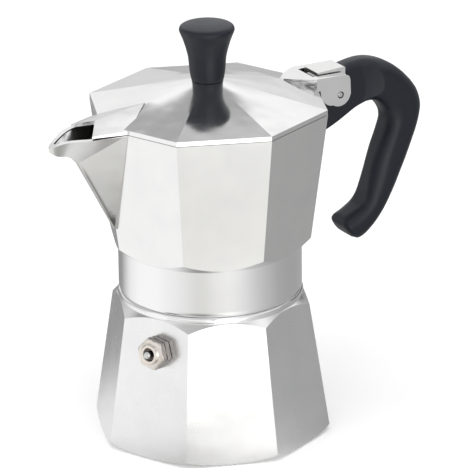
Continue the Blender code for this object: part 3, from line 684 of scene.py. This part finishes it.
def make_collector(mats):
    body = loft("collector_shell", [octagon(collector_radius(z), z) for z in (COLLAR_HIGH - 4, RIM_Z + 3)])
    slope = (WAIST_R - COLLAR_R) / (WAIST_Z - COLLAR_HIGH)
    flare = WAIST_R + slope * 14
    keep(body, turned("undercut", [(COLLAR_R, COLLAR_HIGH), (flare, WAIST_Z + 14), (flare, RIM_Z + 5)]))
    collar = turned(
        "collar",
        [(32.6, COLLAR_LOW - 0.17), (33.65, COLLAR_LOW - 0.17), (34.0, COLLAR_LOW + 0.05),
         (34.28, COLLAR_LOW + 0.5), (34.5, COLLAR_LOW + 1.3), (COLLAR_R, COLLAR_LOW + 2.3),
         (COLLAR_R, COLLAR_HIGH + 0.4), (30.0, COLLAR_HIGH + 2)])

    rim = smooth_line([(-42.4, -11.8, 127.3), (-48.0, -10.7, 127.3), (-53.2, -9.4, 127.25),
                       (-57.2, -7.9, 127.1), (-60.0, -6.2, 126.85), (-62.4, -4.3, 126.35),
                       (-64.8, -2.8, 125.5), (-66.6, -1.7, 124.75), (-67.3, -0.8, 124.4)], 3)
    nose = smooth_line([(-56.1, -0.9, 116.2), (-56.9, -0.9, 117.0), (-57.9, -0.9, 118.0),
                        (-59.2, -0.9, 119.0), (-60.7, -0.9, 119.7), (-62.2, -0.9, 120.1),
                        (-63.9, -0.9, 120.4), (-65.9, -0.8, 121.4), (-67.4, -0.6, 122.8)], 3)
    keel = [(-33.0, -0.9, 86.0), (-41.0, -0.9, 87.3)]
    outer = lip("lip", (-33.0, -9.0), (-41.0, -12.0), rim, keel, nose, RIM_Z + 4)
    above = prism_y(
        "above",
        [(-70.0, 121.9), (-67.1, 124.35), (-65.0, 125.4), (-62.6, 126.25), (-60.0, 126.8), (-57.0, 127.08),
         (-53.2, 127.2), (-41.0, RIM_Z), (60.0, RIM_Z), (60.0, 140.0), (-70.0, 140.0)], -60, 60)
    join(body, collar, outer)
    cut(body, above)
    web = prism_y(
        "web",
        [(42.0, 110.0), (44.4, RIM_Z + 1), (44.6, 131.6), (57.2, 131.6), (57.2, 121.5), (54.6, 117.0),
         (49.5, 112.2), (44.5, 109.0)], -2.4, 2.4)
    tab = prism_y(
        "tab",
        [(45.6, 130.9), (45.2, 131.4), (45.2, 133.3), (45.7, 133.5), (56.9, 133.9), (57.4, 133.5),
         (57.4, 130.9)],
        -4.8, 4.8)
    join(body, web, tab)

    inner = [octagon(34.0, 78.6), octagon(35.3, 78.9), octagon(36.2, 79.6),
             octagon(collector_radius(80.6) - COLLECTOR_WALL, 80.6),
             octagon(collector_radius(RIM_Z + 4) - COLLECTOR_WALL, RIM_Z + 4)]
    rim_in = smooth_line([(-40.6, -10.2, 126.6), (-46.5, -9.0, 126.6), (-52.0, -7.6, 126.6),
                          (-55.7, -6.2, 126.6), (-58.3, -4.7, 126.4), (-60.8, -3.1, 126.0),
                          (-62.9, -1.9, 125.4), (-64.4, -1.1, 124.8), (-65.2, -0.6, 124.4)], 3)
    nose_in = smooth_line([(-53.9, -0.4, 118.4), (-54.7, -0.4, 119.2), (-55.8, -0.4, 120.1),
                           (-57.2, -0.4, 120.9), (-58.7, -0.4, 121.7), (-60.3, -0.4, 122.1),
                           (-62.0, -0.4, 122.4), (-63.6, -0.4, 123.1), (-65.1, -0.3, 123.95)], 3)
    keel_in = [(-30.0, -0.4, 89.0), (-38.6, -0.4, 90.6)]
    channel = lip("channel", (-30.0, -8.0), (-38.0, -10.2), rim_in, keel_in, nose_in, RIM_Z + 5)
    cut(body, loft("inside", inner), channel)
    boss = prism_y(
        "boss", [(41.0, 113.0), (38.4, 121.5), (38.4, RIM_Z - 0.3), (42.8, RIM_Z - 0.3)], -5.2, 5.2)
    column = turned("column", [(8.6, 77.6), (7.7, 78.9), (7.4, 81.0), (5.4, 111.4), (5.1, 112.4),
                               (4.4, 113.0)], SMALL)
    join(body, boss, column)
    skirt = threaded("skirt", SKIRT_R, -THREAD_H, COLLAR_LOW - 4, 73.9, PITCH / 2)
    riser = turned("riser", [(24.0, 72.9), (24.0, 73.9), (5.0, 76.5), (3.2, 81.6), (2.7, 110.0)], SMALL)
    outlet = drum_y("outlet", 0.0, 107.0, 2.1, -9, 9)
    cut(body, skirt, riser, outlet, drum_y("hole", PIN_X, PIN_Z, PIN_HOLE_R, -6, 6))

    def weigh(p):
        r = math.hypot(p.x, p.y)
        if p.z < 75 and r < 33.2:
            return 0.0
        if p.x < -38 and abs(p.y) < 1.4 and p.z < 118:
            return 0.5
        if p.x < -48 and p.z < 123.6:
            return 0.6
        if p.z > 127 and p.x > -44:
            return 0.12
        if p.z > 123.6 and p.x < 44:
            return 0.3
        if p.x > 44.4 and r > collector_radius(p.z) + 0.4:
            return 0.4
        return 1.0 if r > 33.2 else 0.35

    def choose(p, n):
        """0 facets, 1 turned collar and undercut, 2 raw inside, 3 painted shade on the spout's keel."""
        r = math.hypot(p.x, p.y)
        outward = (p.x * n.x + p.y * n.y) / max(r, 1e-6)
        if p.x < -41 and p.z < 115 and abs(p.y) < 1.8 and 0.1 < abs(n.y) < 0.78 and outward > 0:
            return 3
        if p.z > 78.4 and p.z < 127 and r < 43 and (outward < 0.3 and r < 39 or outward < -0.05) and p.x < 44:
            return 2
        if p.z < 75 and r < 33.3:
            return 1
        return 1 if p.z < 74.6 or (p.z < 79 and n.z < -0.35) else 0

    round_edges(body, 0.8, 22.0, weigh)
    piece(body, "collector_shell", "collector", "collector", mats, choose)


def make_lid(mats):
    body = loft("lid_shell", [octagon(LID_R, LID_LOW), octagon(LID_R, LID_EDGE),
                              octagon(1.0, LID_APEX - LID_SLOPE)])
    keep(body, turned("below_pad", [(60.0, 120.0), (60.0, PAD_Z)], 64))
    low = LID_LOW
    back, tip = (-27.0, 0.0, 134.1), (-48.1, 0.0, 131.2)
    side_tip, side_root = (-53.8, -8.1, 128.4), (-40.4, -11.6, 129.1)
    hood = solid(
        "hood",
        [back, tip, side_tip, (side_tip[0], -side_tip[1], side_tip[2]), side_root,
         (side_root[0], -side_root[1], side_root[2]), (-26.0, 0.0, low), (tip[0], 0.0, low),
         (side_tip[0], side_tip[1], low), (side_tip[0], -side_tip[1], low), (side_root[0], side_root[1], low),
         (side_root[0], -side_root[1], low)],
        [(0, 4, 2), (0, 2, 1), (0, 1, 3), (0, 3, 5), (1, 2, 8, 7), (1, 7, 9, 3), (2, 4, 10, 8), (3, 9, 11, 5),
         (0, 6, 10, 4), (0, 5, 11, 6), (6, 7, 8, 10), (6, 11, 9, 7)])
    half = [tuple(p)[:2] for p in smooth_line(
        [(31.7, 0.4, 0), (33.4, 2.2, 0), (36.0, 4.7, 0), (39.0, 7.0, 0), (42.2, 8.9, 0)], 4)] + [(44.0, 8.9)]
    plate = prism_z("plate", half + [(x, -y) for x, y in reversed(half)], 128.4, 132.6)
    ear = [(42.2, low + 0.1), (42.2, 132.6), (55.2, 132.2), (56.6, 131.4), (57.1, 130.0), (57.3, 124.6)]
    curl = [math.radians(degrees) for degrees in range(-20, -126, -15)]
    ear += [(52.3 + 4.9 * math.cos(a), 124.9 + 4.8 * math.sin(a)) for a in curl]
    ear += [(48.1, 121.1), (46.8, 121.7), (45.6, 122.7), (44.7, 124.0), (44.2, 125.4), (44.0, 126.6),
            (43.9, low + 0.1)]
    join(body, hood, plate, prism_y("ear", ear, -8.9, -5.6), prism_y("ear", ear, 5.6, 8.9))

    skin_r = LID_R - LID_RIM_WALL
    skin_low = LID_APEX - LID_WALL - LID_SLOPE * skin_r
    inside = loft("inside", [octagon(skin_r, low - 3), octagon(skin_r, skin_low),
                             octagon(7.0, LID_APEX - LID_WALL - LID_SLOPE * 7.0)])
    cut(inside, drum_y("wall", PIN_X, PIN_Z, 14.6, -7.1, 7.1, 96))

    def section(x, wide, side_z, ridge_z):
        return [(x, -wide, 125.0), (x, wide, 125.0), (x, wide, side_z), (x, 0.7, ridge_z), (x, -0.7, ridge_z),
                (x, -wide, side_z)]

    channel = loft("channel", [section(-25.0, 7.0, 130.0, 132.4), section(-40.4, 9.6, 128.4, 130.6),
                               section(-58.0, 5.6, 127.4, 128.3)])
    cut(body, inside, channel, drum_y("slot", PIN_X, PIN_Z, 13.0, -5.3, 5.3, 96),
        turned("screw_hole", [(2.4, 130.0), (2.4, 142.0)], SMALL),
        drum_y("pin_hole", PIN_X, PIN_Z, PIN_HOLE_R, -12, 12))

    def weigh(p):
        if p.x > 44 or (p.x > 30 and abs(p.y) < 9.2 and p.z > 130.5):
            return 0.6
        if p.z < 128.5:
            return 0.13
        if abs(p.z - PAD_Z) < 0.2:
            return 0.5
        return 0.0 if math.hypot(p.x, p.y) < 3 else 1.0

    def choose(p, n):
        """0 facets, 1 raw underside, 2 painted shade under the bracket."""
        if 128.6 < p.z < 132.4 and 31 < p.x < 43.4 and abs(n.z) < 0.35 and 0.3 < abs(p.y) < 9:
            return 2
        return 1 if n.z < -0.1 and p.z > 128.0 and p.x < 44 else 0

    round_edges(body, 0.55, 8.0, weigh)
    piece(body, "lid_shell", "lid", "lid", mats, choose, 30.0)


def make_knob(plastic, brass, steel_mat):
    line = [tuple(p)[:2] for p in smooth_line(
        [(5.9, PAD_Z + 0.04, 0), (6.02, PAD_Z + 0.16, 0), (6.3, 139.6, 0), (6.68, 142.0, 0),
         (6.92, 145.0, 0), (7.22, 147.7, 0), (7.9, 150.5, 0), (8.74, 153.4, 0), (9.6, 155.7, 0),
         (10.25, 157.3, 0), (10.3, 158.1, 0), (9.9, 158.9, 0), (8.6, 159.45, 0), (5.0, 159.85, 0),
         (2.0, 160.0, 0)], 4)]
    knob = turned("knob_grip", line, 128)
    cut(knob, turned("socket", [(3.7, 136.0), (3.7, 151.0)], SMALL))
    piece(knob, "knob_grip", "lid", "knob", [plastic], None, 45.0)
    insert = turned(
        "knob_bush",
        [(2.3, 139.3), (2.5, 139.0), (3.2, 139.0), (3.4, 139.3), (3.4, 143.0), (3.1, 143.3), (3.1, 144.0),
         (3.4, 144.3), (3.4, 150.3), (3.2, 150.6), (2.3, 150.6)], SMALL, True)
    piece(insert, "knob_bush", "lid", "knob_insert", [brass])
    washer = turned("screw_washer", [(2.3, 135.1), (2.4, 135.0), (5.3, 135.0), (5.4, 135.1), (5.4, 135.7),
                                     (5.3, 135.8), (2.3, 135.8)], SMALL, True)
    piece(washer, "screw_washer", "lid", "knob_washer", [steel_mat])
    screw = turned(
        "lid_screw",
        [(2.6, 132.6), (3.6, 132.9), (4.2, 133.3), (4.4, 133.7), (4.4, 134.5), (4.2, 134.7), (2.0, 134.7),
         (2.0, 149.4), (1.4, 150.0)], SMALL)
    cut(screw, prism_z("drive", [(-3.6, -0.5), (3.6, -0.5), (3.6, 0.5), (-3.6, 0.5)], 131.0, 133.5))
    piece(screw, "lid_screw", "lid", "knob_screw", [steel_mat])


# The handle's back and inner side, in pairs from the collector round to the toe
SPANS = [
    ((38.0, 133.0), (38.0, 104.8)), ((46.0, 133.2), (45.0, 107.5)), ((54.0, 133.3), (52.5, 110.6)),
    ((58.0, 133.4), (57.8, 113.3)), ((62.0, 134.1), (62.2, 115.6)), ((66.5, 134.5), (66.6, 117.0)),
    ((71.0, 134.0), (69.9, 117.2)), ((76.5, 132.0), (72.6, 116.2)), ((82.0, 128.5), (74.7, 114.0)),
    ((87.0, 123.7), (76.2, 111.6)), ((90.6, 118.8), (77.0, 109.0)), ((92.2, 113.5), (76.9, 106.2)),
    ((91.8, 108.6), (75.8, 103.2)), ((90.3, 103.4), (74.4, 99.9)), ((88.2, 98.0), (72.8, 96.2)),
    ((85.9, 92.4), (71.4, 92.2)), ((83.3, 86.8), (70.1, 88.0)), ((80.6, 81.8), (69.0, 83.9)),
    ((77.8, 77.3), (68.0, 80.2)), ((74.9, 73.0), (66.8, 77.5)), ((72.0, 69.2), (65.0, 75.7)),
    ((69.0, 66.0), (62.8, 74.5)), ((66.6, 64.0), (60.8, 73.5)), ((64.4, 63.0), (58.9, 72.6)),
    ((62.8, 63.1), (57.7, 71.8)), ((61.6, 63.9), (57.2, 70.6)),
]


def span_ring(o, i, half):
    """A rounded rectangle standing across the handle, from its inner side to its back."""
    length = (o - i).length
    run = (o - i).normalized()
    corner = min(GRIP_CORNER, length * 0.45)
    ring = []
    for sx, sy, first in ((1, 1, 0), (-1, 1, 90), (-1, -1, 180), (1, -1, 270)):
        for k in range(9):
            angle = math.radians(first + 11.25 * k)
            along = sx * (length / 2 - corner) + corner * math.cos(angle)
            across = sy * (half - corner) + corner * math.sin(angle)
            point = (o + i) / 2 + run * along
            ring.append((point.x, across, point.z))
    return ring


def make_handle(mats):
    outer = smooth_line([(o[0], 0, o[1]) for o, _ in SPANS], 4)
    inner = smooth_line([(i[0], 0, i[1]) for _, i in SPANS], 4)
    rings = [span_ring(o, i, GRIP_HALF) for o, i in zip(outer, inner)]
    o, i = outer[-1], inner[-1]
    out = Vector((-(o - i).normalized().z, 0, (o - i).normalized().x))
    out = out if out.x < 0 else -out
    for inset, push in ((0.35, 0.4), (0.9, 0.75), (1.8, 1.05), (3.0, 1.2)):
        run = (o - i).normalized()
        rings.append(span_ring(o - run * inset + out * push, i + run * inset + out * push, GRIP_HALF - inset))
    body = loft("handle_grip", rings)
    cut(body, prism_y("step", [(30.0, 130.5), (57.7, 130.5), (58.0, 140.0), (30.0, 140.0)], -9, 9))
    cut(body, prism_y("front", [(30.0, 100.0), (42.6, 100.0), (46.2, 127.6), (46.2, 140.0),
                                (30.0, 140.0)], -9, 9))
    cut(body, prism_y(
        "slot", [(36.0, 104.9), (44.8, 108.4), (49.8, 111.7), (55.0, 116.7), (57.6, 121.3), (57.6, 136.0),
                 (36.0, 136.0)], -2.7, 2.7))
    for side in (-1, 1):
        line = smooth_line([(13.2, side * 4.9, 0), (13.9, side * 5.05, 0), (15.0, side * 5.3, 0),
                            (16.4, side * 5.65, 0), (18.0, side * 6.15, 0), (20.0, side * 6.8, 0),
                            (24.0, side * 8.3, 0)], 5)
        cut(body, turned_y("hollow", [(r, y) for r, y, _ in line], 96))
    cut(body, drum_y("hole", PIN_X, PIN_Z, PIN_HOLE_R, -9, 9))

    def weigh(p):
        return 0.0 if abs(p.y) < 3 and p.x < 57 else 1.0

    round_edges(body, 0.6, 30.0, weigh, 3)
    piece(body, "handle_grip", "collector", "handle", mats, None, 45.0)
    pin_end = ((0.75, 8.8), (0.95, 8.72), (1.05, 8.55))
    pin = turned_y("pivot_pin", [(r, -y) for r, y in pin_end] + [(r, y) for r, y in reversed(pin_end)], 32)
    piece(pin, "pivot_pin", "collector", "hinge_pin", [METALS["steel"]])


# ---- the set ---------------------------------------------------------------------------------------


# Tone of the bench as the metal sees it, by direction in degrees from +X, then by distance in metres
BENCH_AROUND = [(-180, 1.0), (-160, 0.93), (-135, (0.77, 0.765, 0.74)), (-126, (0.77, 0.765, 0.74)),
                (-114, (0.84, 0.835, 0.81)), (-98, (0.885, 0.88, 0.86)), (-80, 0.78), (-62, 0.60),
                (-50, 0.52), (-34, 0.42), (-14, 0.385), (6, 0.385), (30, 0.42), (60, 0.48), (76, 0.30),
                (103, 0.31), (127, 0.90), (146, 1.04)]
BENCH_REACH = [(0.0, 0.8), (0.055, 0.85), (0.075, 1.0), (0.30, 1.0), (0.6, 1.05)]
# Patches of the bench as x, y, radius and tone: the shade under the spout, the light in front, and a
# smaller light at the pot's foot
PATCHES = [(-0.060, -0.066, 0.055, 0.32), (-0.135, -0.63, 0.38, 2.0), (-0.020, -0.100, 0.060, 1.4)]

# Tone of the studio by elevation in degrees, and by direction low down and high up, which multiply it
WORLD_UP = [(0, 0.74), (8, 0.74), (14, 0.97), (20, 0.97), (34, 1.10), (37, 0.78), (39, 0.44), (43, 0.40),
            (46, 0.60), (50, 0.68), (53, 0.98), (56, 1.16), (61, 0.94), (68, 0.55), (90, 0.46)]
WORLD_LOW_AROUND = [(-180, 1.0), (-130, 1.0), (-118, 1.5), (-95, 1.8), (-80, 1.2), (-60, 0.7), (-30, 0.45),
                    (38, 0.45), (54, 0.98), (76, 1.0), (90, 0.5), (112, 0.6), (135, 1.0)]
WORLD_HIGH_AROUND = [(-180, 1.0), (86, 1.0), (102, 0.66), (135, 0.7), (155, 1.0)]
HIGH_FROM, HIGH_TO = 0.36, 0.48  # sines of the elevations between which low turns into high

# The low card in front of the pot: its direction in degrees, then metres, then its tone
CARD_DIRECTION, CARD_AWAY, CARD_HEIGHT, CARD_SIZE, CARD_TONE = -102, 0.30, 0.06, (0.24, 0.12), 1.9

# The camera, solved by least squares from corners read off the photo. It looks at AIM from AWAY millimetres,
# heading HEADING degrees from +Y towards +X and DOWN degrees below level, and is rolled by ROLL
HEADING, DOWN, ROLL = 30.663, 21.143, -0.716
AIM, AWAY, LENS = (7.82, -4.67, 76.45), 1691.6, 346.0


def plane(name, centre, size):
    mesh = bpy.data.meshes.new(name)
    w, h = size[0] / 2, size[1] / 2
    mesh.from_pydata([(-w, -h, 0), (w, -h, 0), (w, h, 0), (-w, h, 0)], [], [(0, 1, 2, 3)])
    obj = bpy.data.objects.new(name, mesh)
    bpy.context.scene.collection.objects.link(obj)
    obj.location = centre
    return obj


def make_floor():
    floor = plane("floor", (0, 0, -0.0002), (12, 12))
    s = Shader("pale_floor", (0.86, 0.86, 0.86), 0.9, 0.0)
    s.set("Base Color", s.mix(s.noise(0.01, 3.0), (0.84, 0.84, 0.84), (0.88, 0.88, 0.88)))
    s.main.inputs["Specular IOR Level"].default_value = 0.1
    s.main.inputs["Emission Color"].default_value = (1, 1, 1, 1)
    s.main.inputs["Emission Strength"].default_value = 0.15
    floor.data.materials.append(s.mat)


def glow_nodes(card):
    """Gives a card a material that only glows, and hides it from all but reflections."""
    mat = bpy.data.materials.new(card.name)
    mat.use_nodes = True
    mat.node_tree.nodes.clear()
    card.data.materials.append(mat)
    card.visible_camera = False
    card.visible_diffuse = False
    card.visible_shadow = False
    return Nodes(mat.node_tree)


def make_reflection_floor():
    """What the metal sees of the bench: brightness by direction from the pot, and darker close to it."""
    card = plane("reflected_bench", (0, 0, 0.0004), (7, 7))
    n = glow_nodes(card)
    split = n.node("ShaderNodeSeparateXYZ")
    n.link(n.node("ShaderNodeTexCoord").outputs["Object"], split.inputs[0])
    x, y = split.outputs["X"], split.outputs["Y"]
    tone = n.multiply(n.around(x, y, BENCH_AROUND), n.ramp(n.length(x, y), BENCH_REACH))
    for at_x, at_y, radius, value in PATCHES:
        apart = n.length(n.math("ADD", x, -at_x), n.math("ADD", y, -at_y))
        near = n.ramp(n.math("MULTIPLY", apart, 1 / radius), [(0.0, value), (1.0, 1.0)], "EASE")
        tone = n.multiply(tone, near)
    glow = n.node("ShaderNodeEmission")
    n.link(tone, glow.inputs["Color"])
    n.link(glow.outputs[0], n.node("ShaderNodeOutputMaterial").inputs["Surface"])


def make_front_card():
    """A low white card in front of the pot, which only the metal sees."""
    direction = math.radians(CARD_DIRECTION)
    centre = (CARD_AWAY * math.cos(direction), CARD_AWAY * math.sin(direction), CARD_HEIGHT)
    card = plane("front_card", centre, CARD_SIZE)
    card.rotation_euler = (math.radians(90), 0, direction + math.radians(90))
    n = glow_nodes(card)
    glow = n.node("ShaderNodeEmission")
    glow.inputs["Strength"].default_value = CARD_TONE
    n.link(glow.outputs[0], n.node("ShaderNodeOutputMaterial").inputs["Surface"])


def area(name, centre, target, size, watts):
    light = bpy.data.lights.new(name, "AREA")
    light.shape = "RECTANGLE"
    light.size, light.size_y = size
    light.energy = watts
    obj = bpy.data.objects.new(name, light)
    bpy.context.scene.collection.objects.link(obj)
    obj.location = centre
    obj.rotation_euler = (Vector(target) - Vector(centre)).to_track_quat("-Z", "Y").to_euler()
    return obj


def make_world():
    """A white studio with a grey band above its walls, brighter in front of the pot and dimmer behind it."""
    world = bpy.data.worlds.new("studio")
    world.use_nodes = True
    world.node_tree.nodes.clear()
    n = Nodes(world.node_tree)
    split = n.node("ShaderNodeSeparateXYZ")
    n.link(n.node("ShaderNodeTexCoord").outputs["Generated"], split.inputs[0])
    x, y, z = [split.outputs[axis] for axis in "XYZ"]
    up = n.ramp(z, [(math.sin(math.radians(degrees)), tone) for degrees, tone in WORLD_UP])
    high = n.ramp(z, [(HIGH_FROM, 0.0), (HIGH_TO, 1.0)])
    by_direction = n.blend(high, n.around(x, y, WORLD_LOW_AROUND), n.around(x, y, WORLD_HIGH_AROUND))
    back = n.node("ShaderNodeBackground")
    n.link(n.multiply(up, by_direction), back.inputs["Color"])
    n.link(back.outputs[0], n.node("ShaderNodeOutputWorld").inputs["Surface"])
    bpy.context.scene.world = world


def make_camera():
    data = bpy.data.cameras.new("camera")
    data.lens = LENS
    data.sensor_width = 36.0
    data.clip_end = 50
    camera = bpy.data.objects.new("camera", data)
    bpy.context.scene.collection.objects.link(camera)
    turns = ((-HEADING, "Z"), (90 - DOWN, "X"), (ROLL, "Z"))
    heading, pitch, roll = [Matrix.Rotation(math.radians(degrees), 4, axis) for degrees, axis in turns]
    aim, back_off = Matrix.Translation(Vector(AIM) * MM), Matrix.Translation((0, 0, AWAY * MM))
    camera.matrix_world = aim @ heading @ pitch @ roll @ back_off
    bpy.context.scene.camera = camera


METALS = {
    "facet": facet_metal("satin_cast_aluminium", (0.83, 0.83, 0.835), (0.87, 0.87, 0.868), (0.22, 0.30)),
    "lid": facet_metal(
        "polished_cast_aluminium", (0.83, 0.83, 0.835), (0.88, 0.88, 0.875), (0.08, 0.14), crown=True),
    "collector": facet_metal(
        "satin_cast_aluminium_collector", (0.83, 0.83, 0.83), (0.87, 0.868, 0.86), (0.20, 0.28), nook=True),
    # skin is painted shade with painted reflection stripes
    "skin": painted_shade_metal(), "turned": turned_metal(), "raw": raw_metal(), "sheet": sheet_metal(),
    "brass": plated_brass(), "steel": steel(),
    # flats: dark nickel standing for a painted dark reflection
    "flats": plated_brass("flats_painted_reflection", (0.20, 0.185, 0.175), (0.34, 0.315, 0.30))}
RUBBER = silicone()
PLASTIC = black_plastic()

make_boiler([METALS["facet"], METALS["turned"], METALS["raw"]])
make_valve(METALS["brass"], METALS["steel"], RUBBER)
make_inner_pieces(METALS["sheet"], METALS["steel"], RUBBER)
make_collector([METALS["collector"], METALS["turned"], METALS["raw"], METALS["skin"]])
make_lid([METALS["lid"], METALS["raw"], METALS["skin"]])
make_knob(PLASTIC, METALS["brass"], METALS["steel"])
make_handle([PLASTIC])

make_floor()
make_reflection_floor()
make_front_card()
overhead = area("overhead", centre=(-0.2, -0.2, 1.6), target=(0, 0, 0), size=(1.5, 1.5), watts=15)
overhead.visible_glossy = False
make_world()
make_camera()
bpy.context.scene.view_settings.view_transform = "Standard"
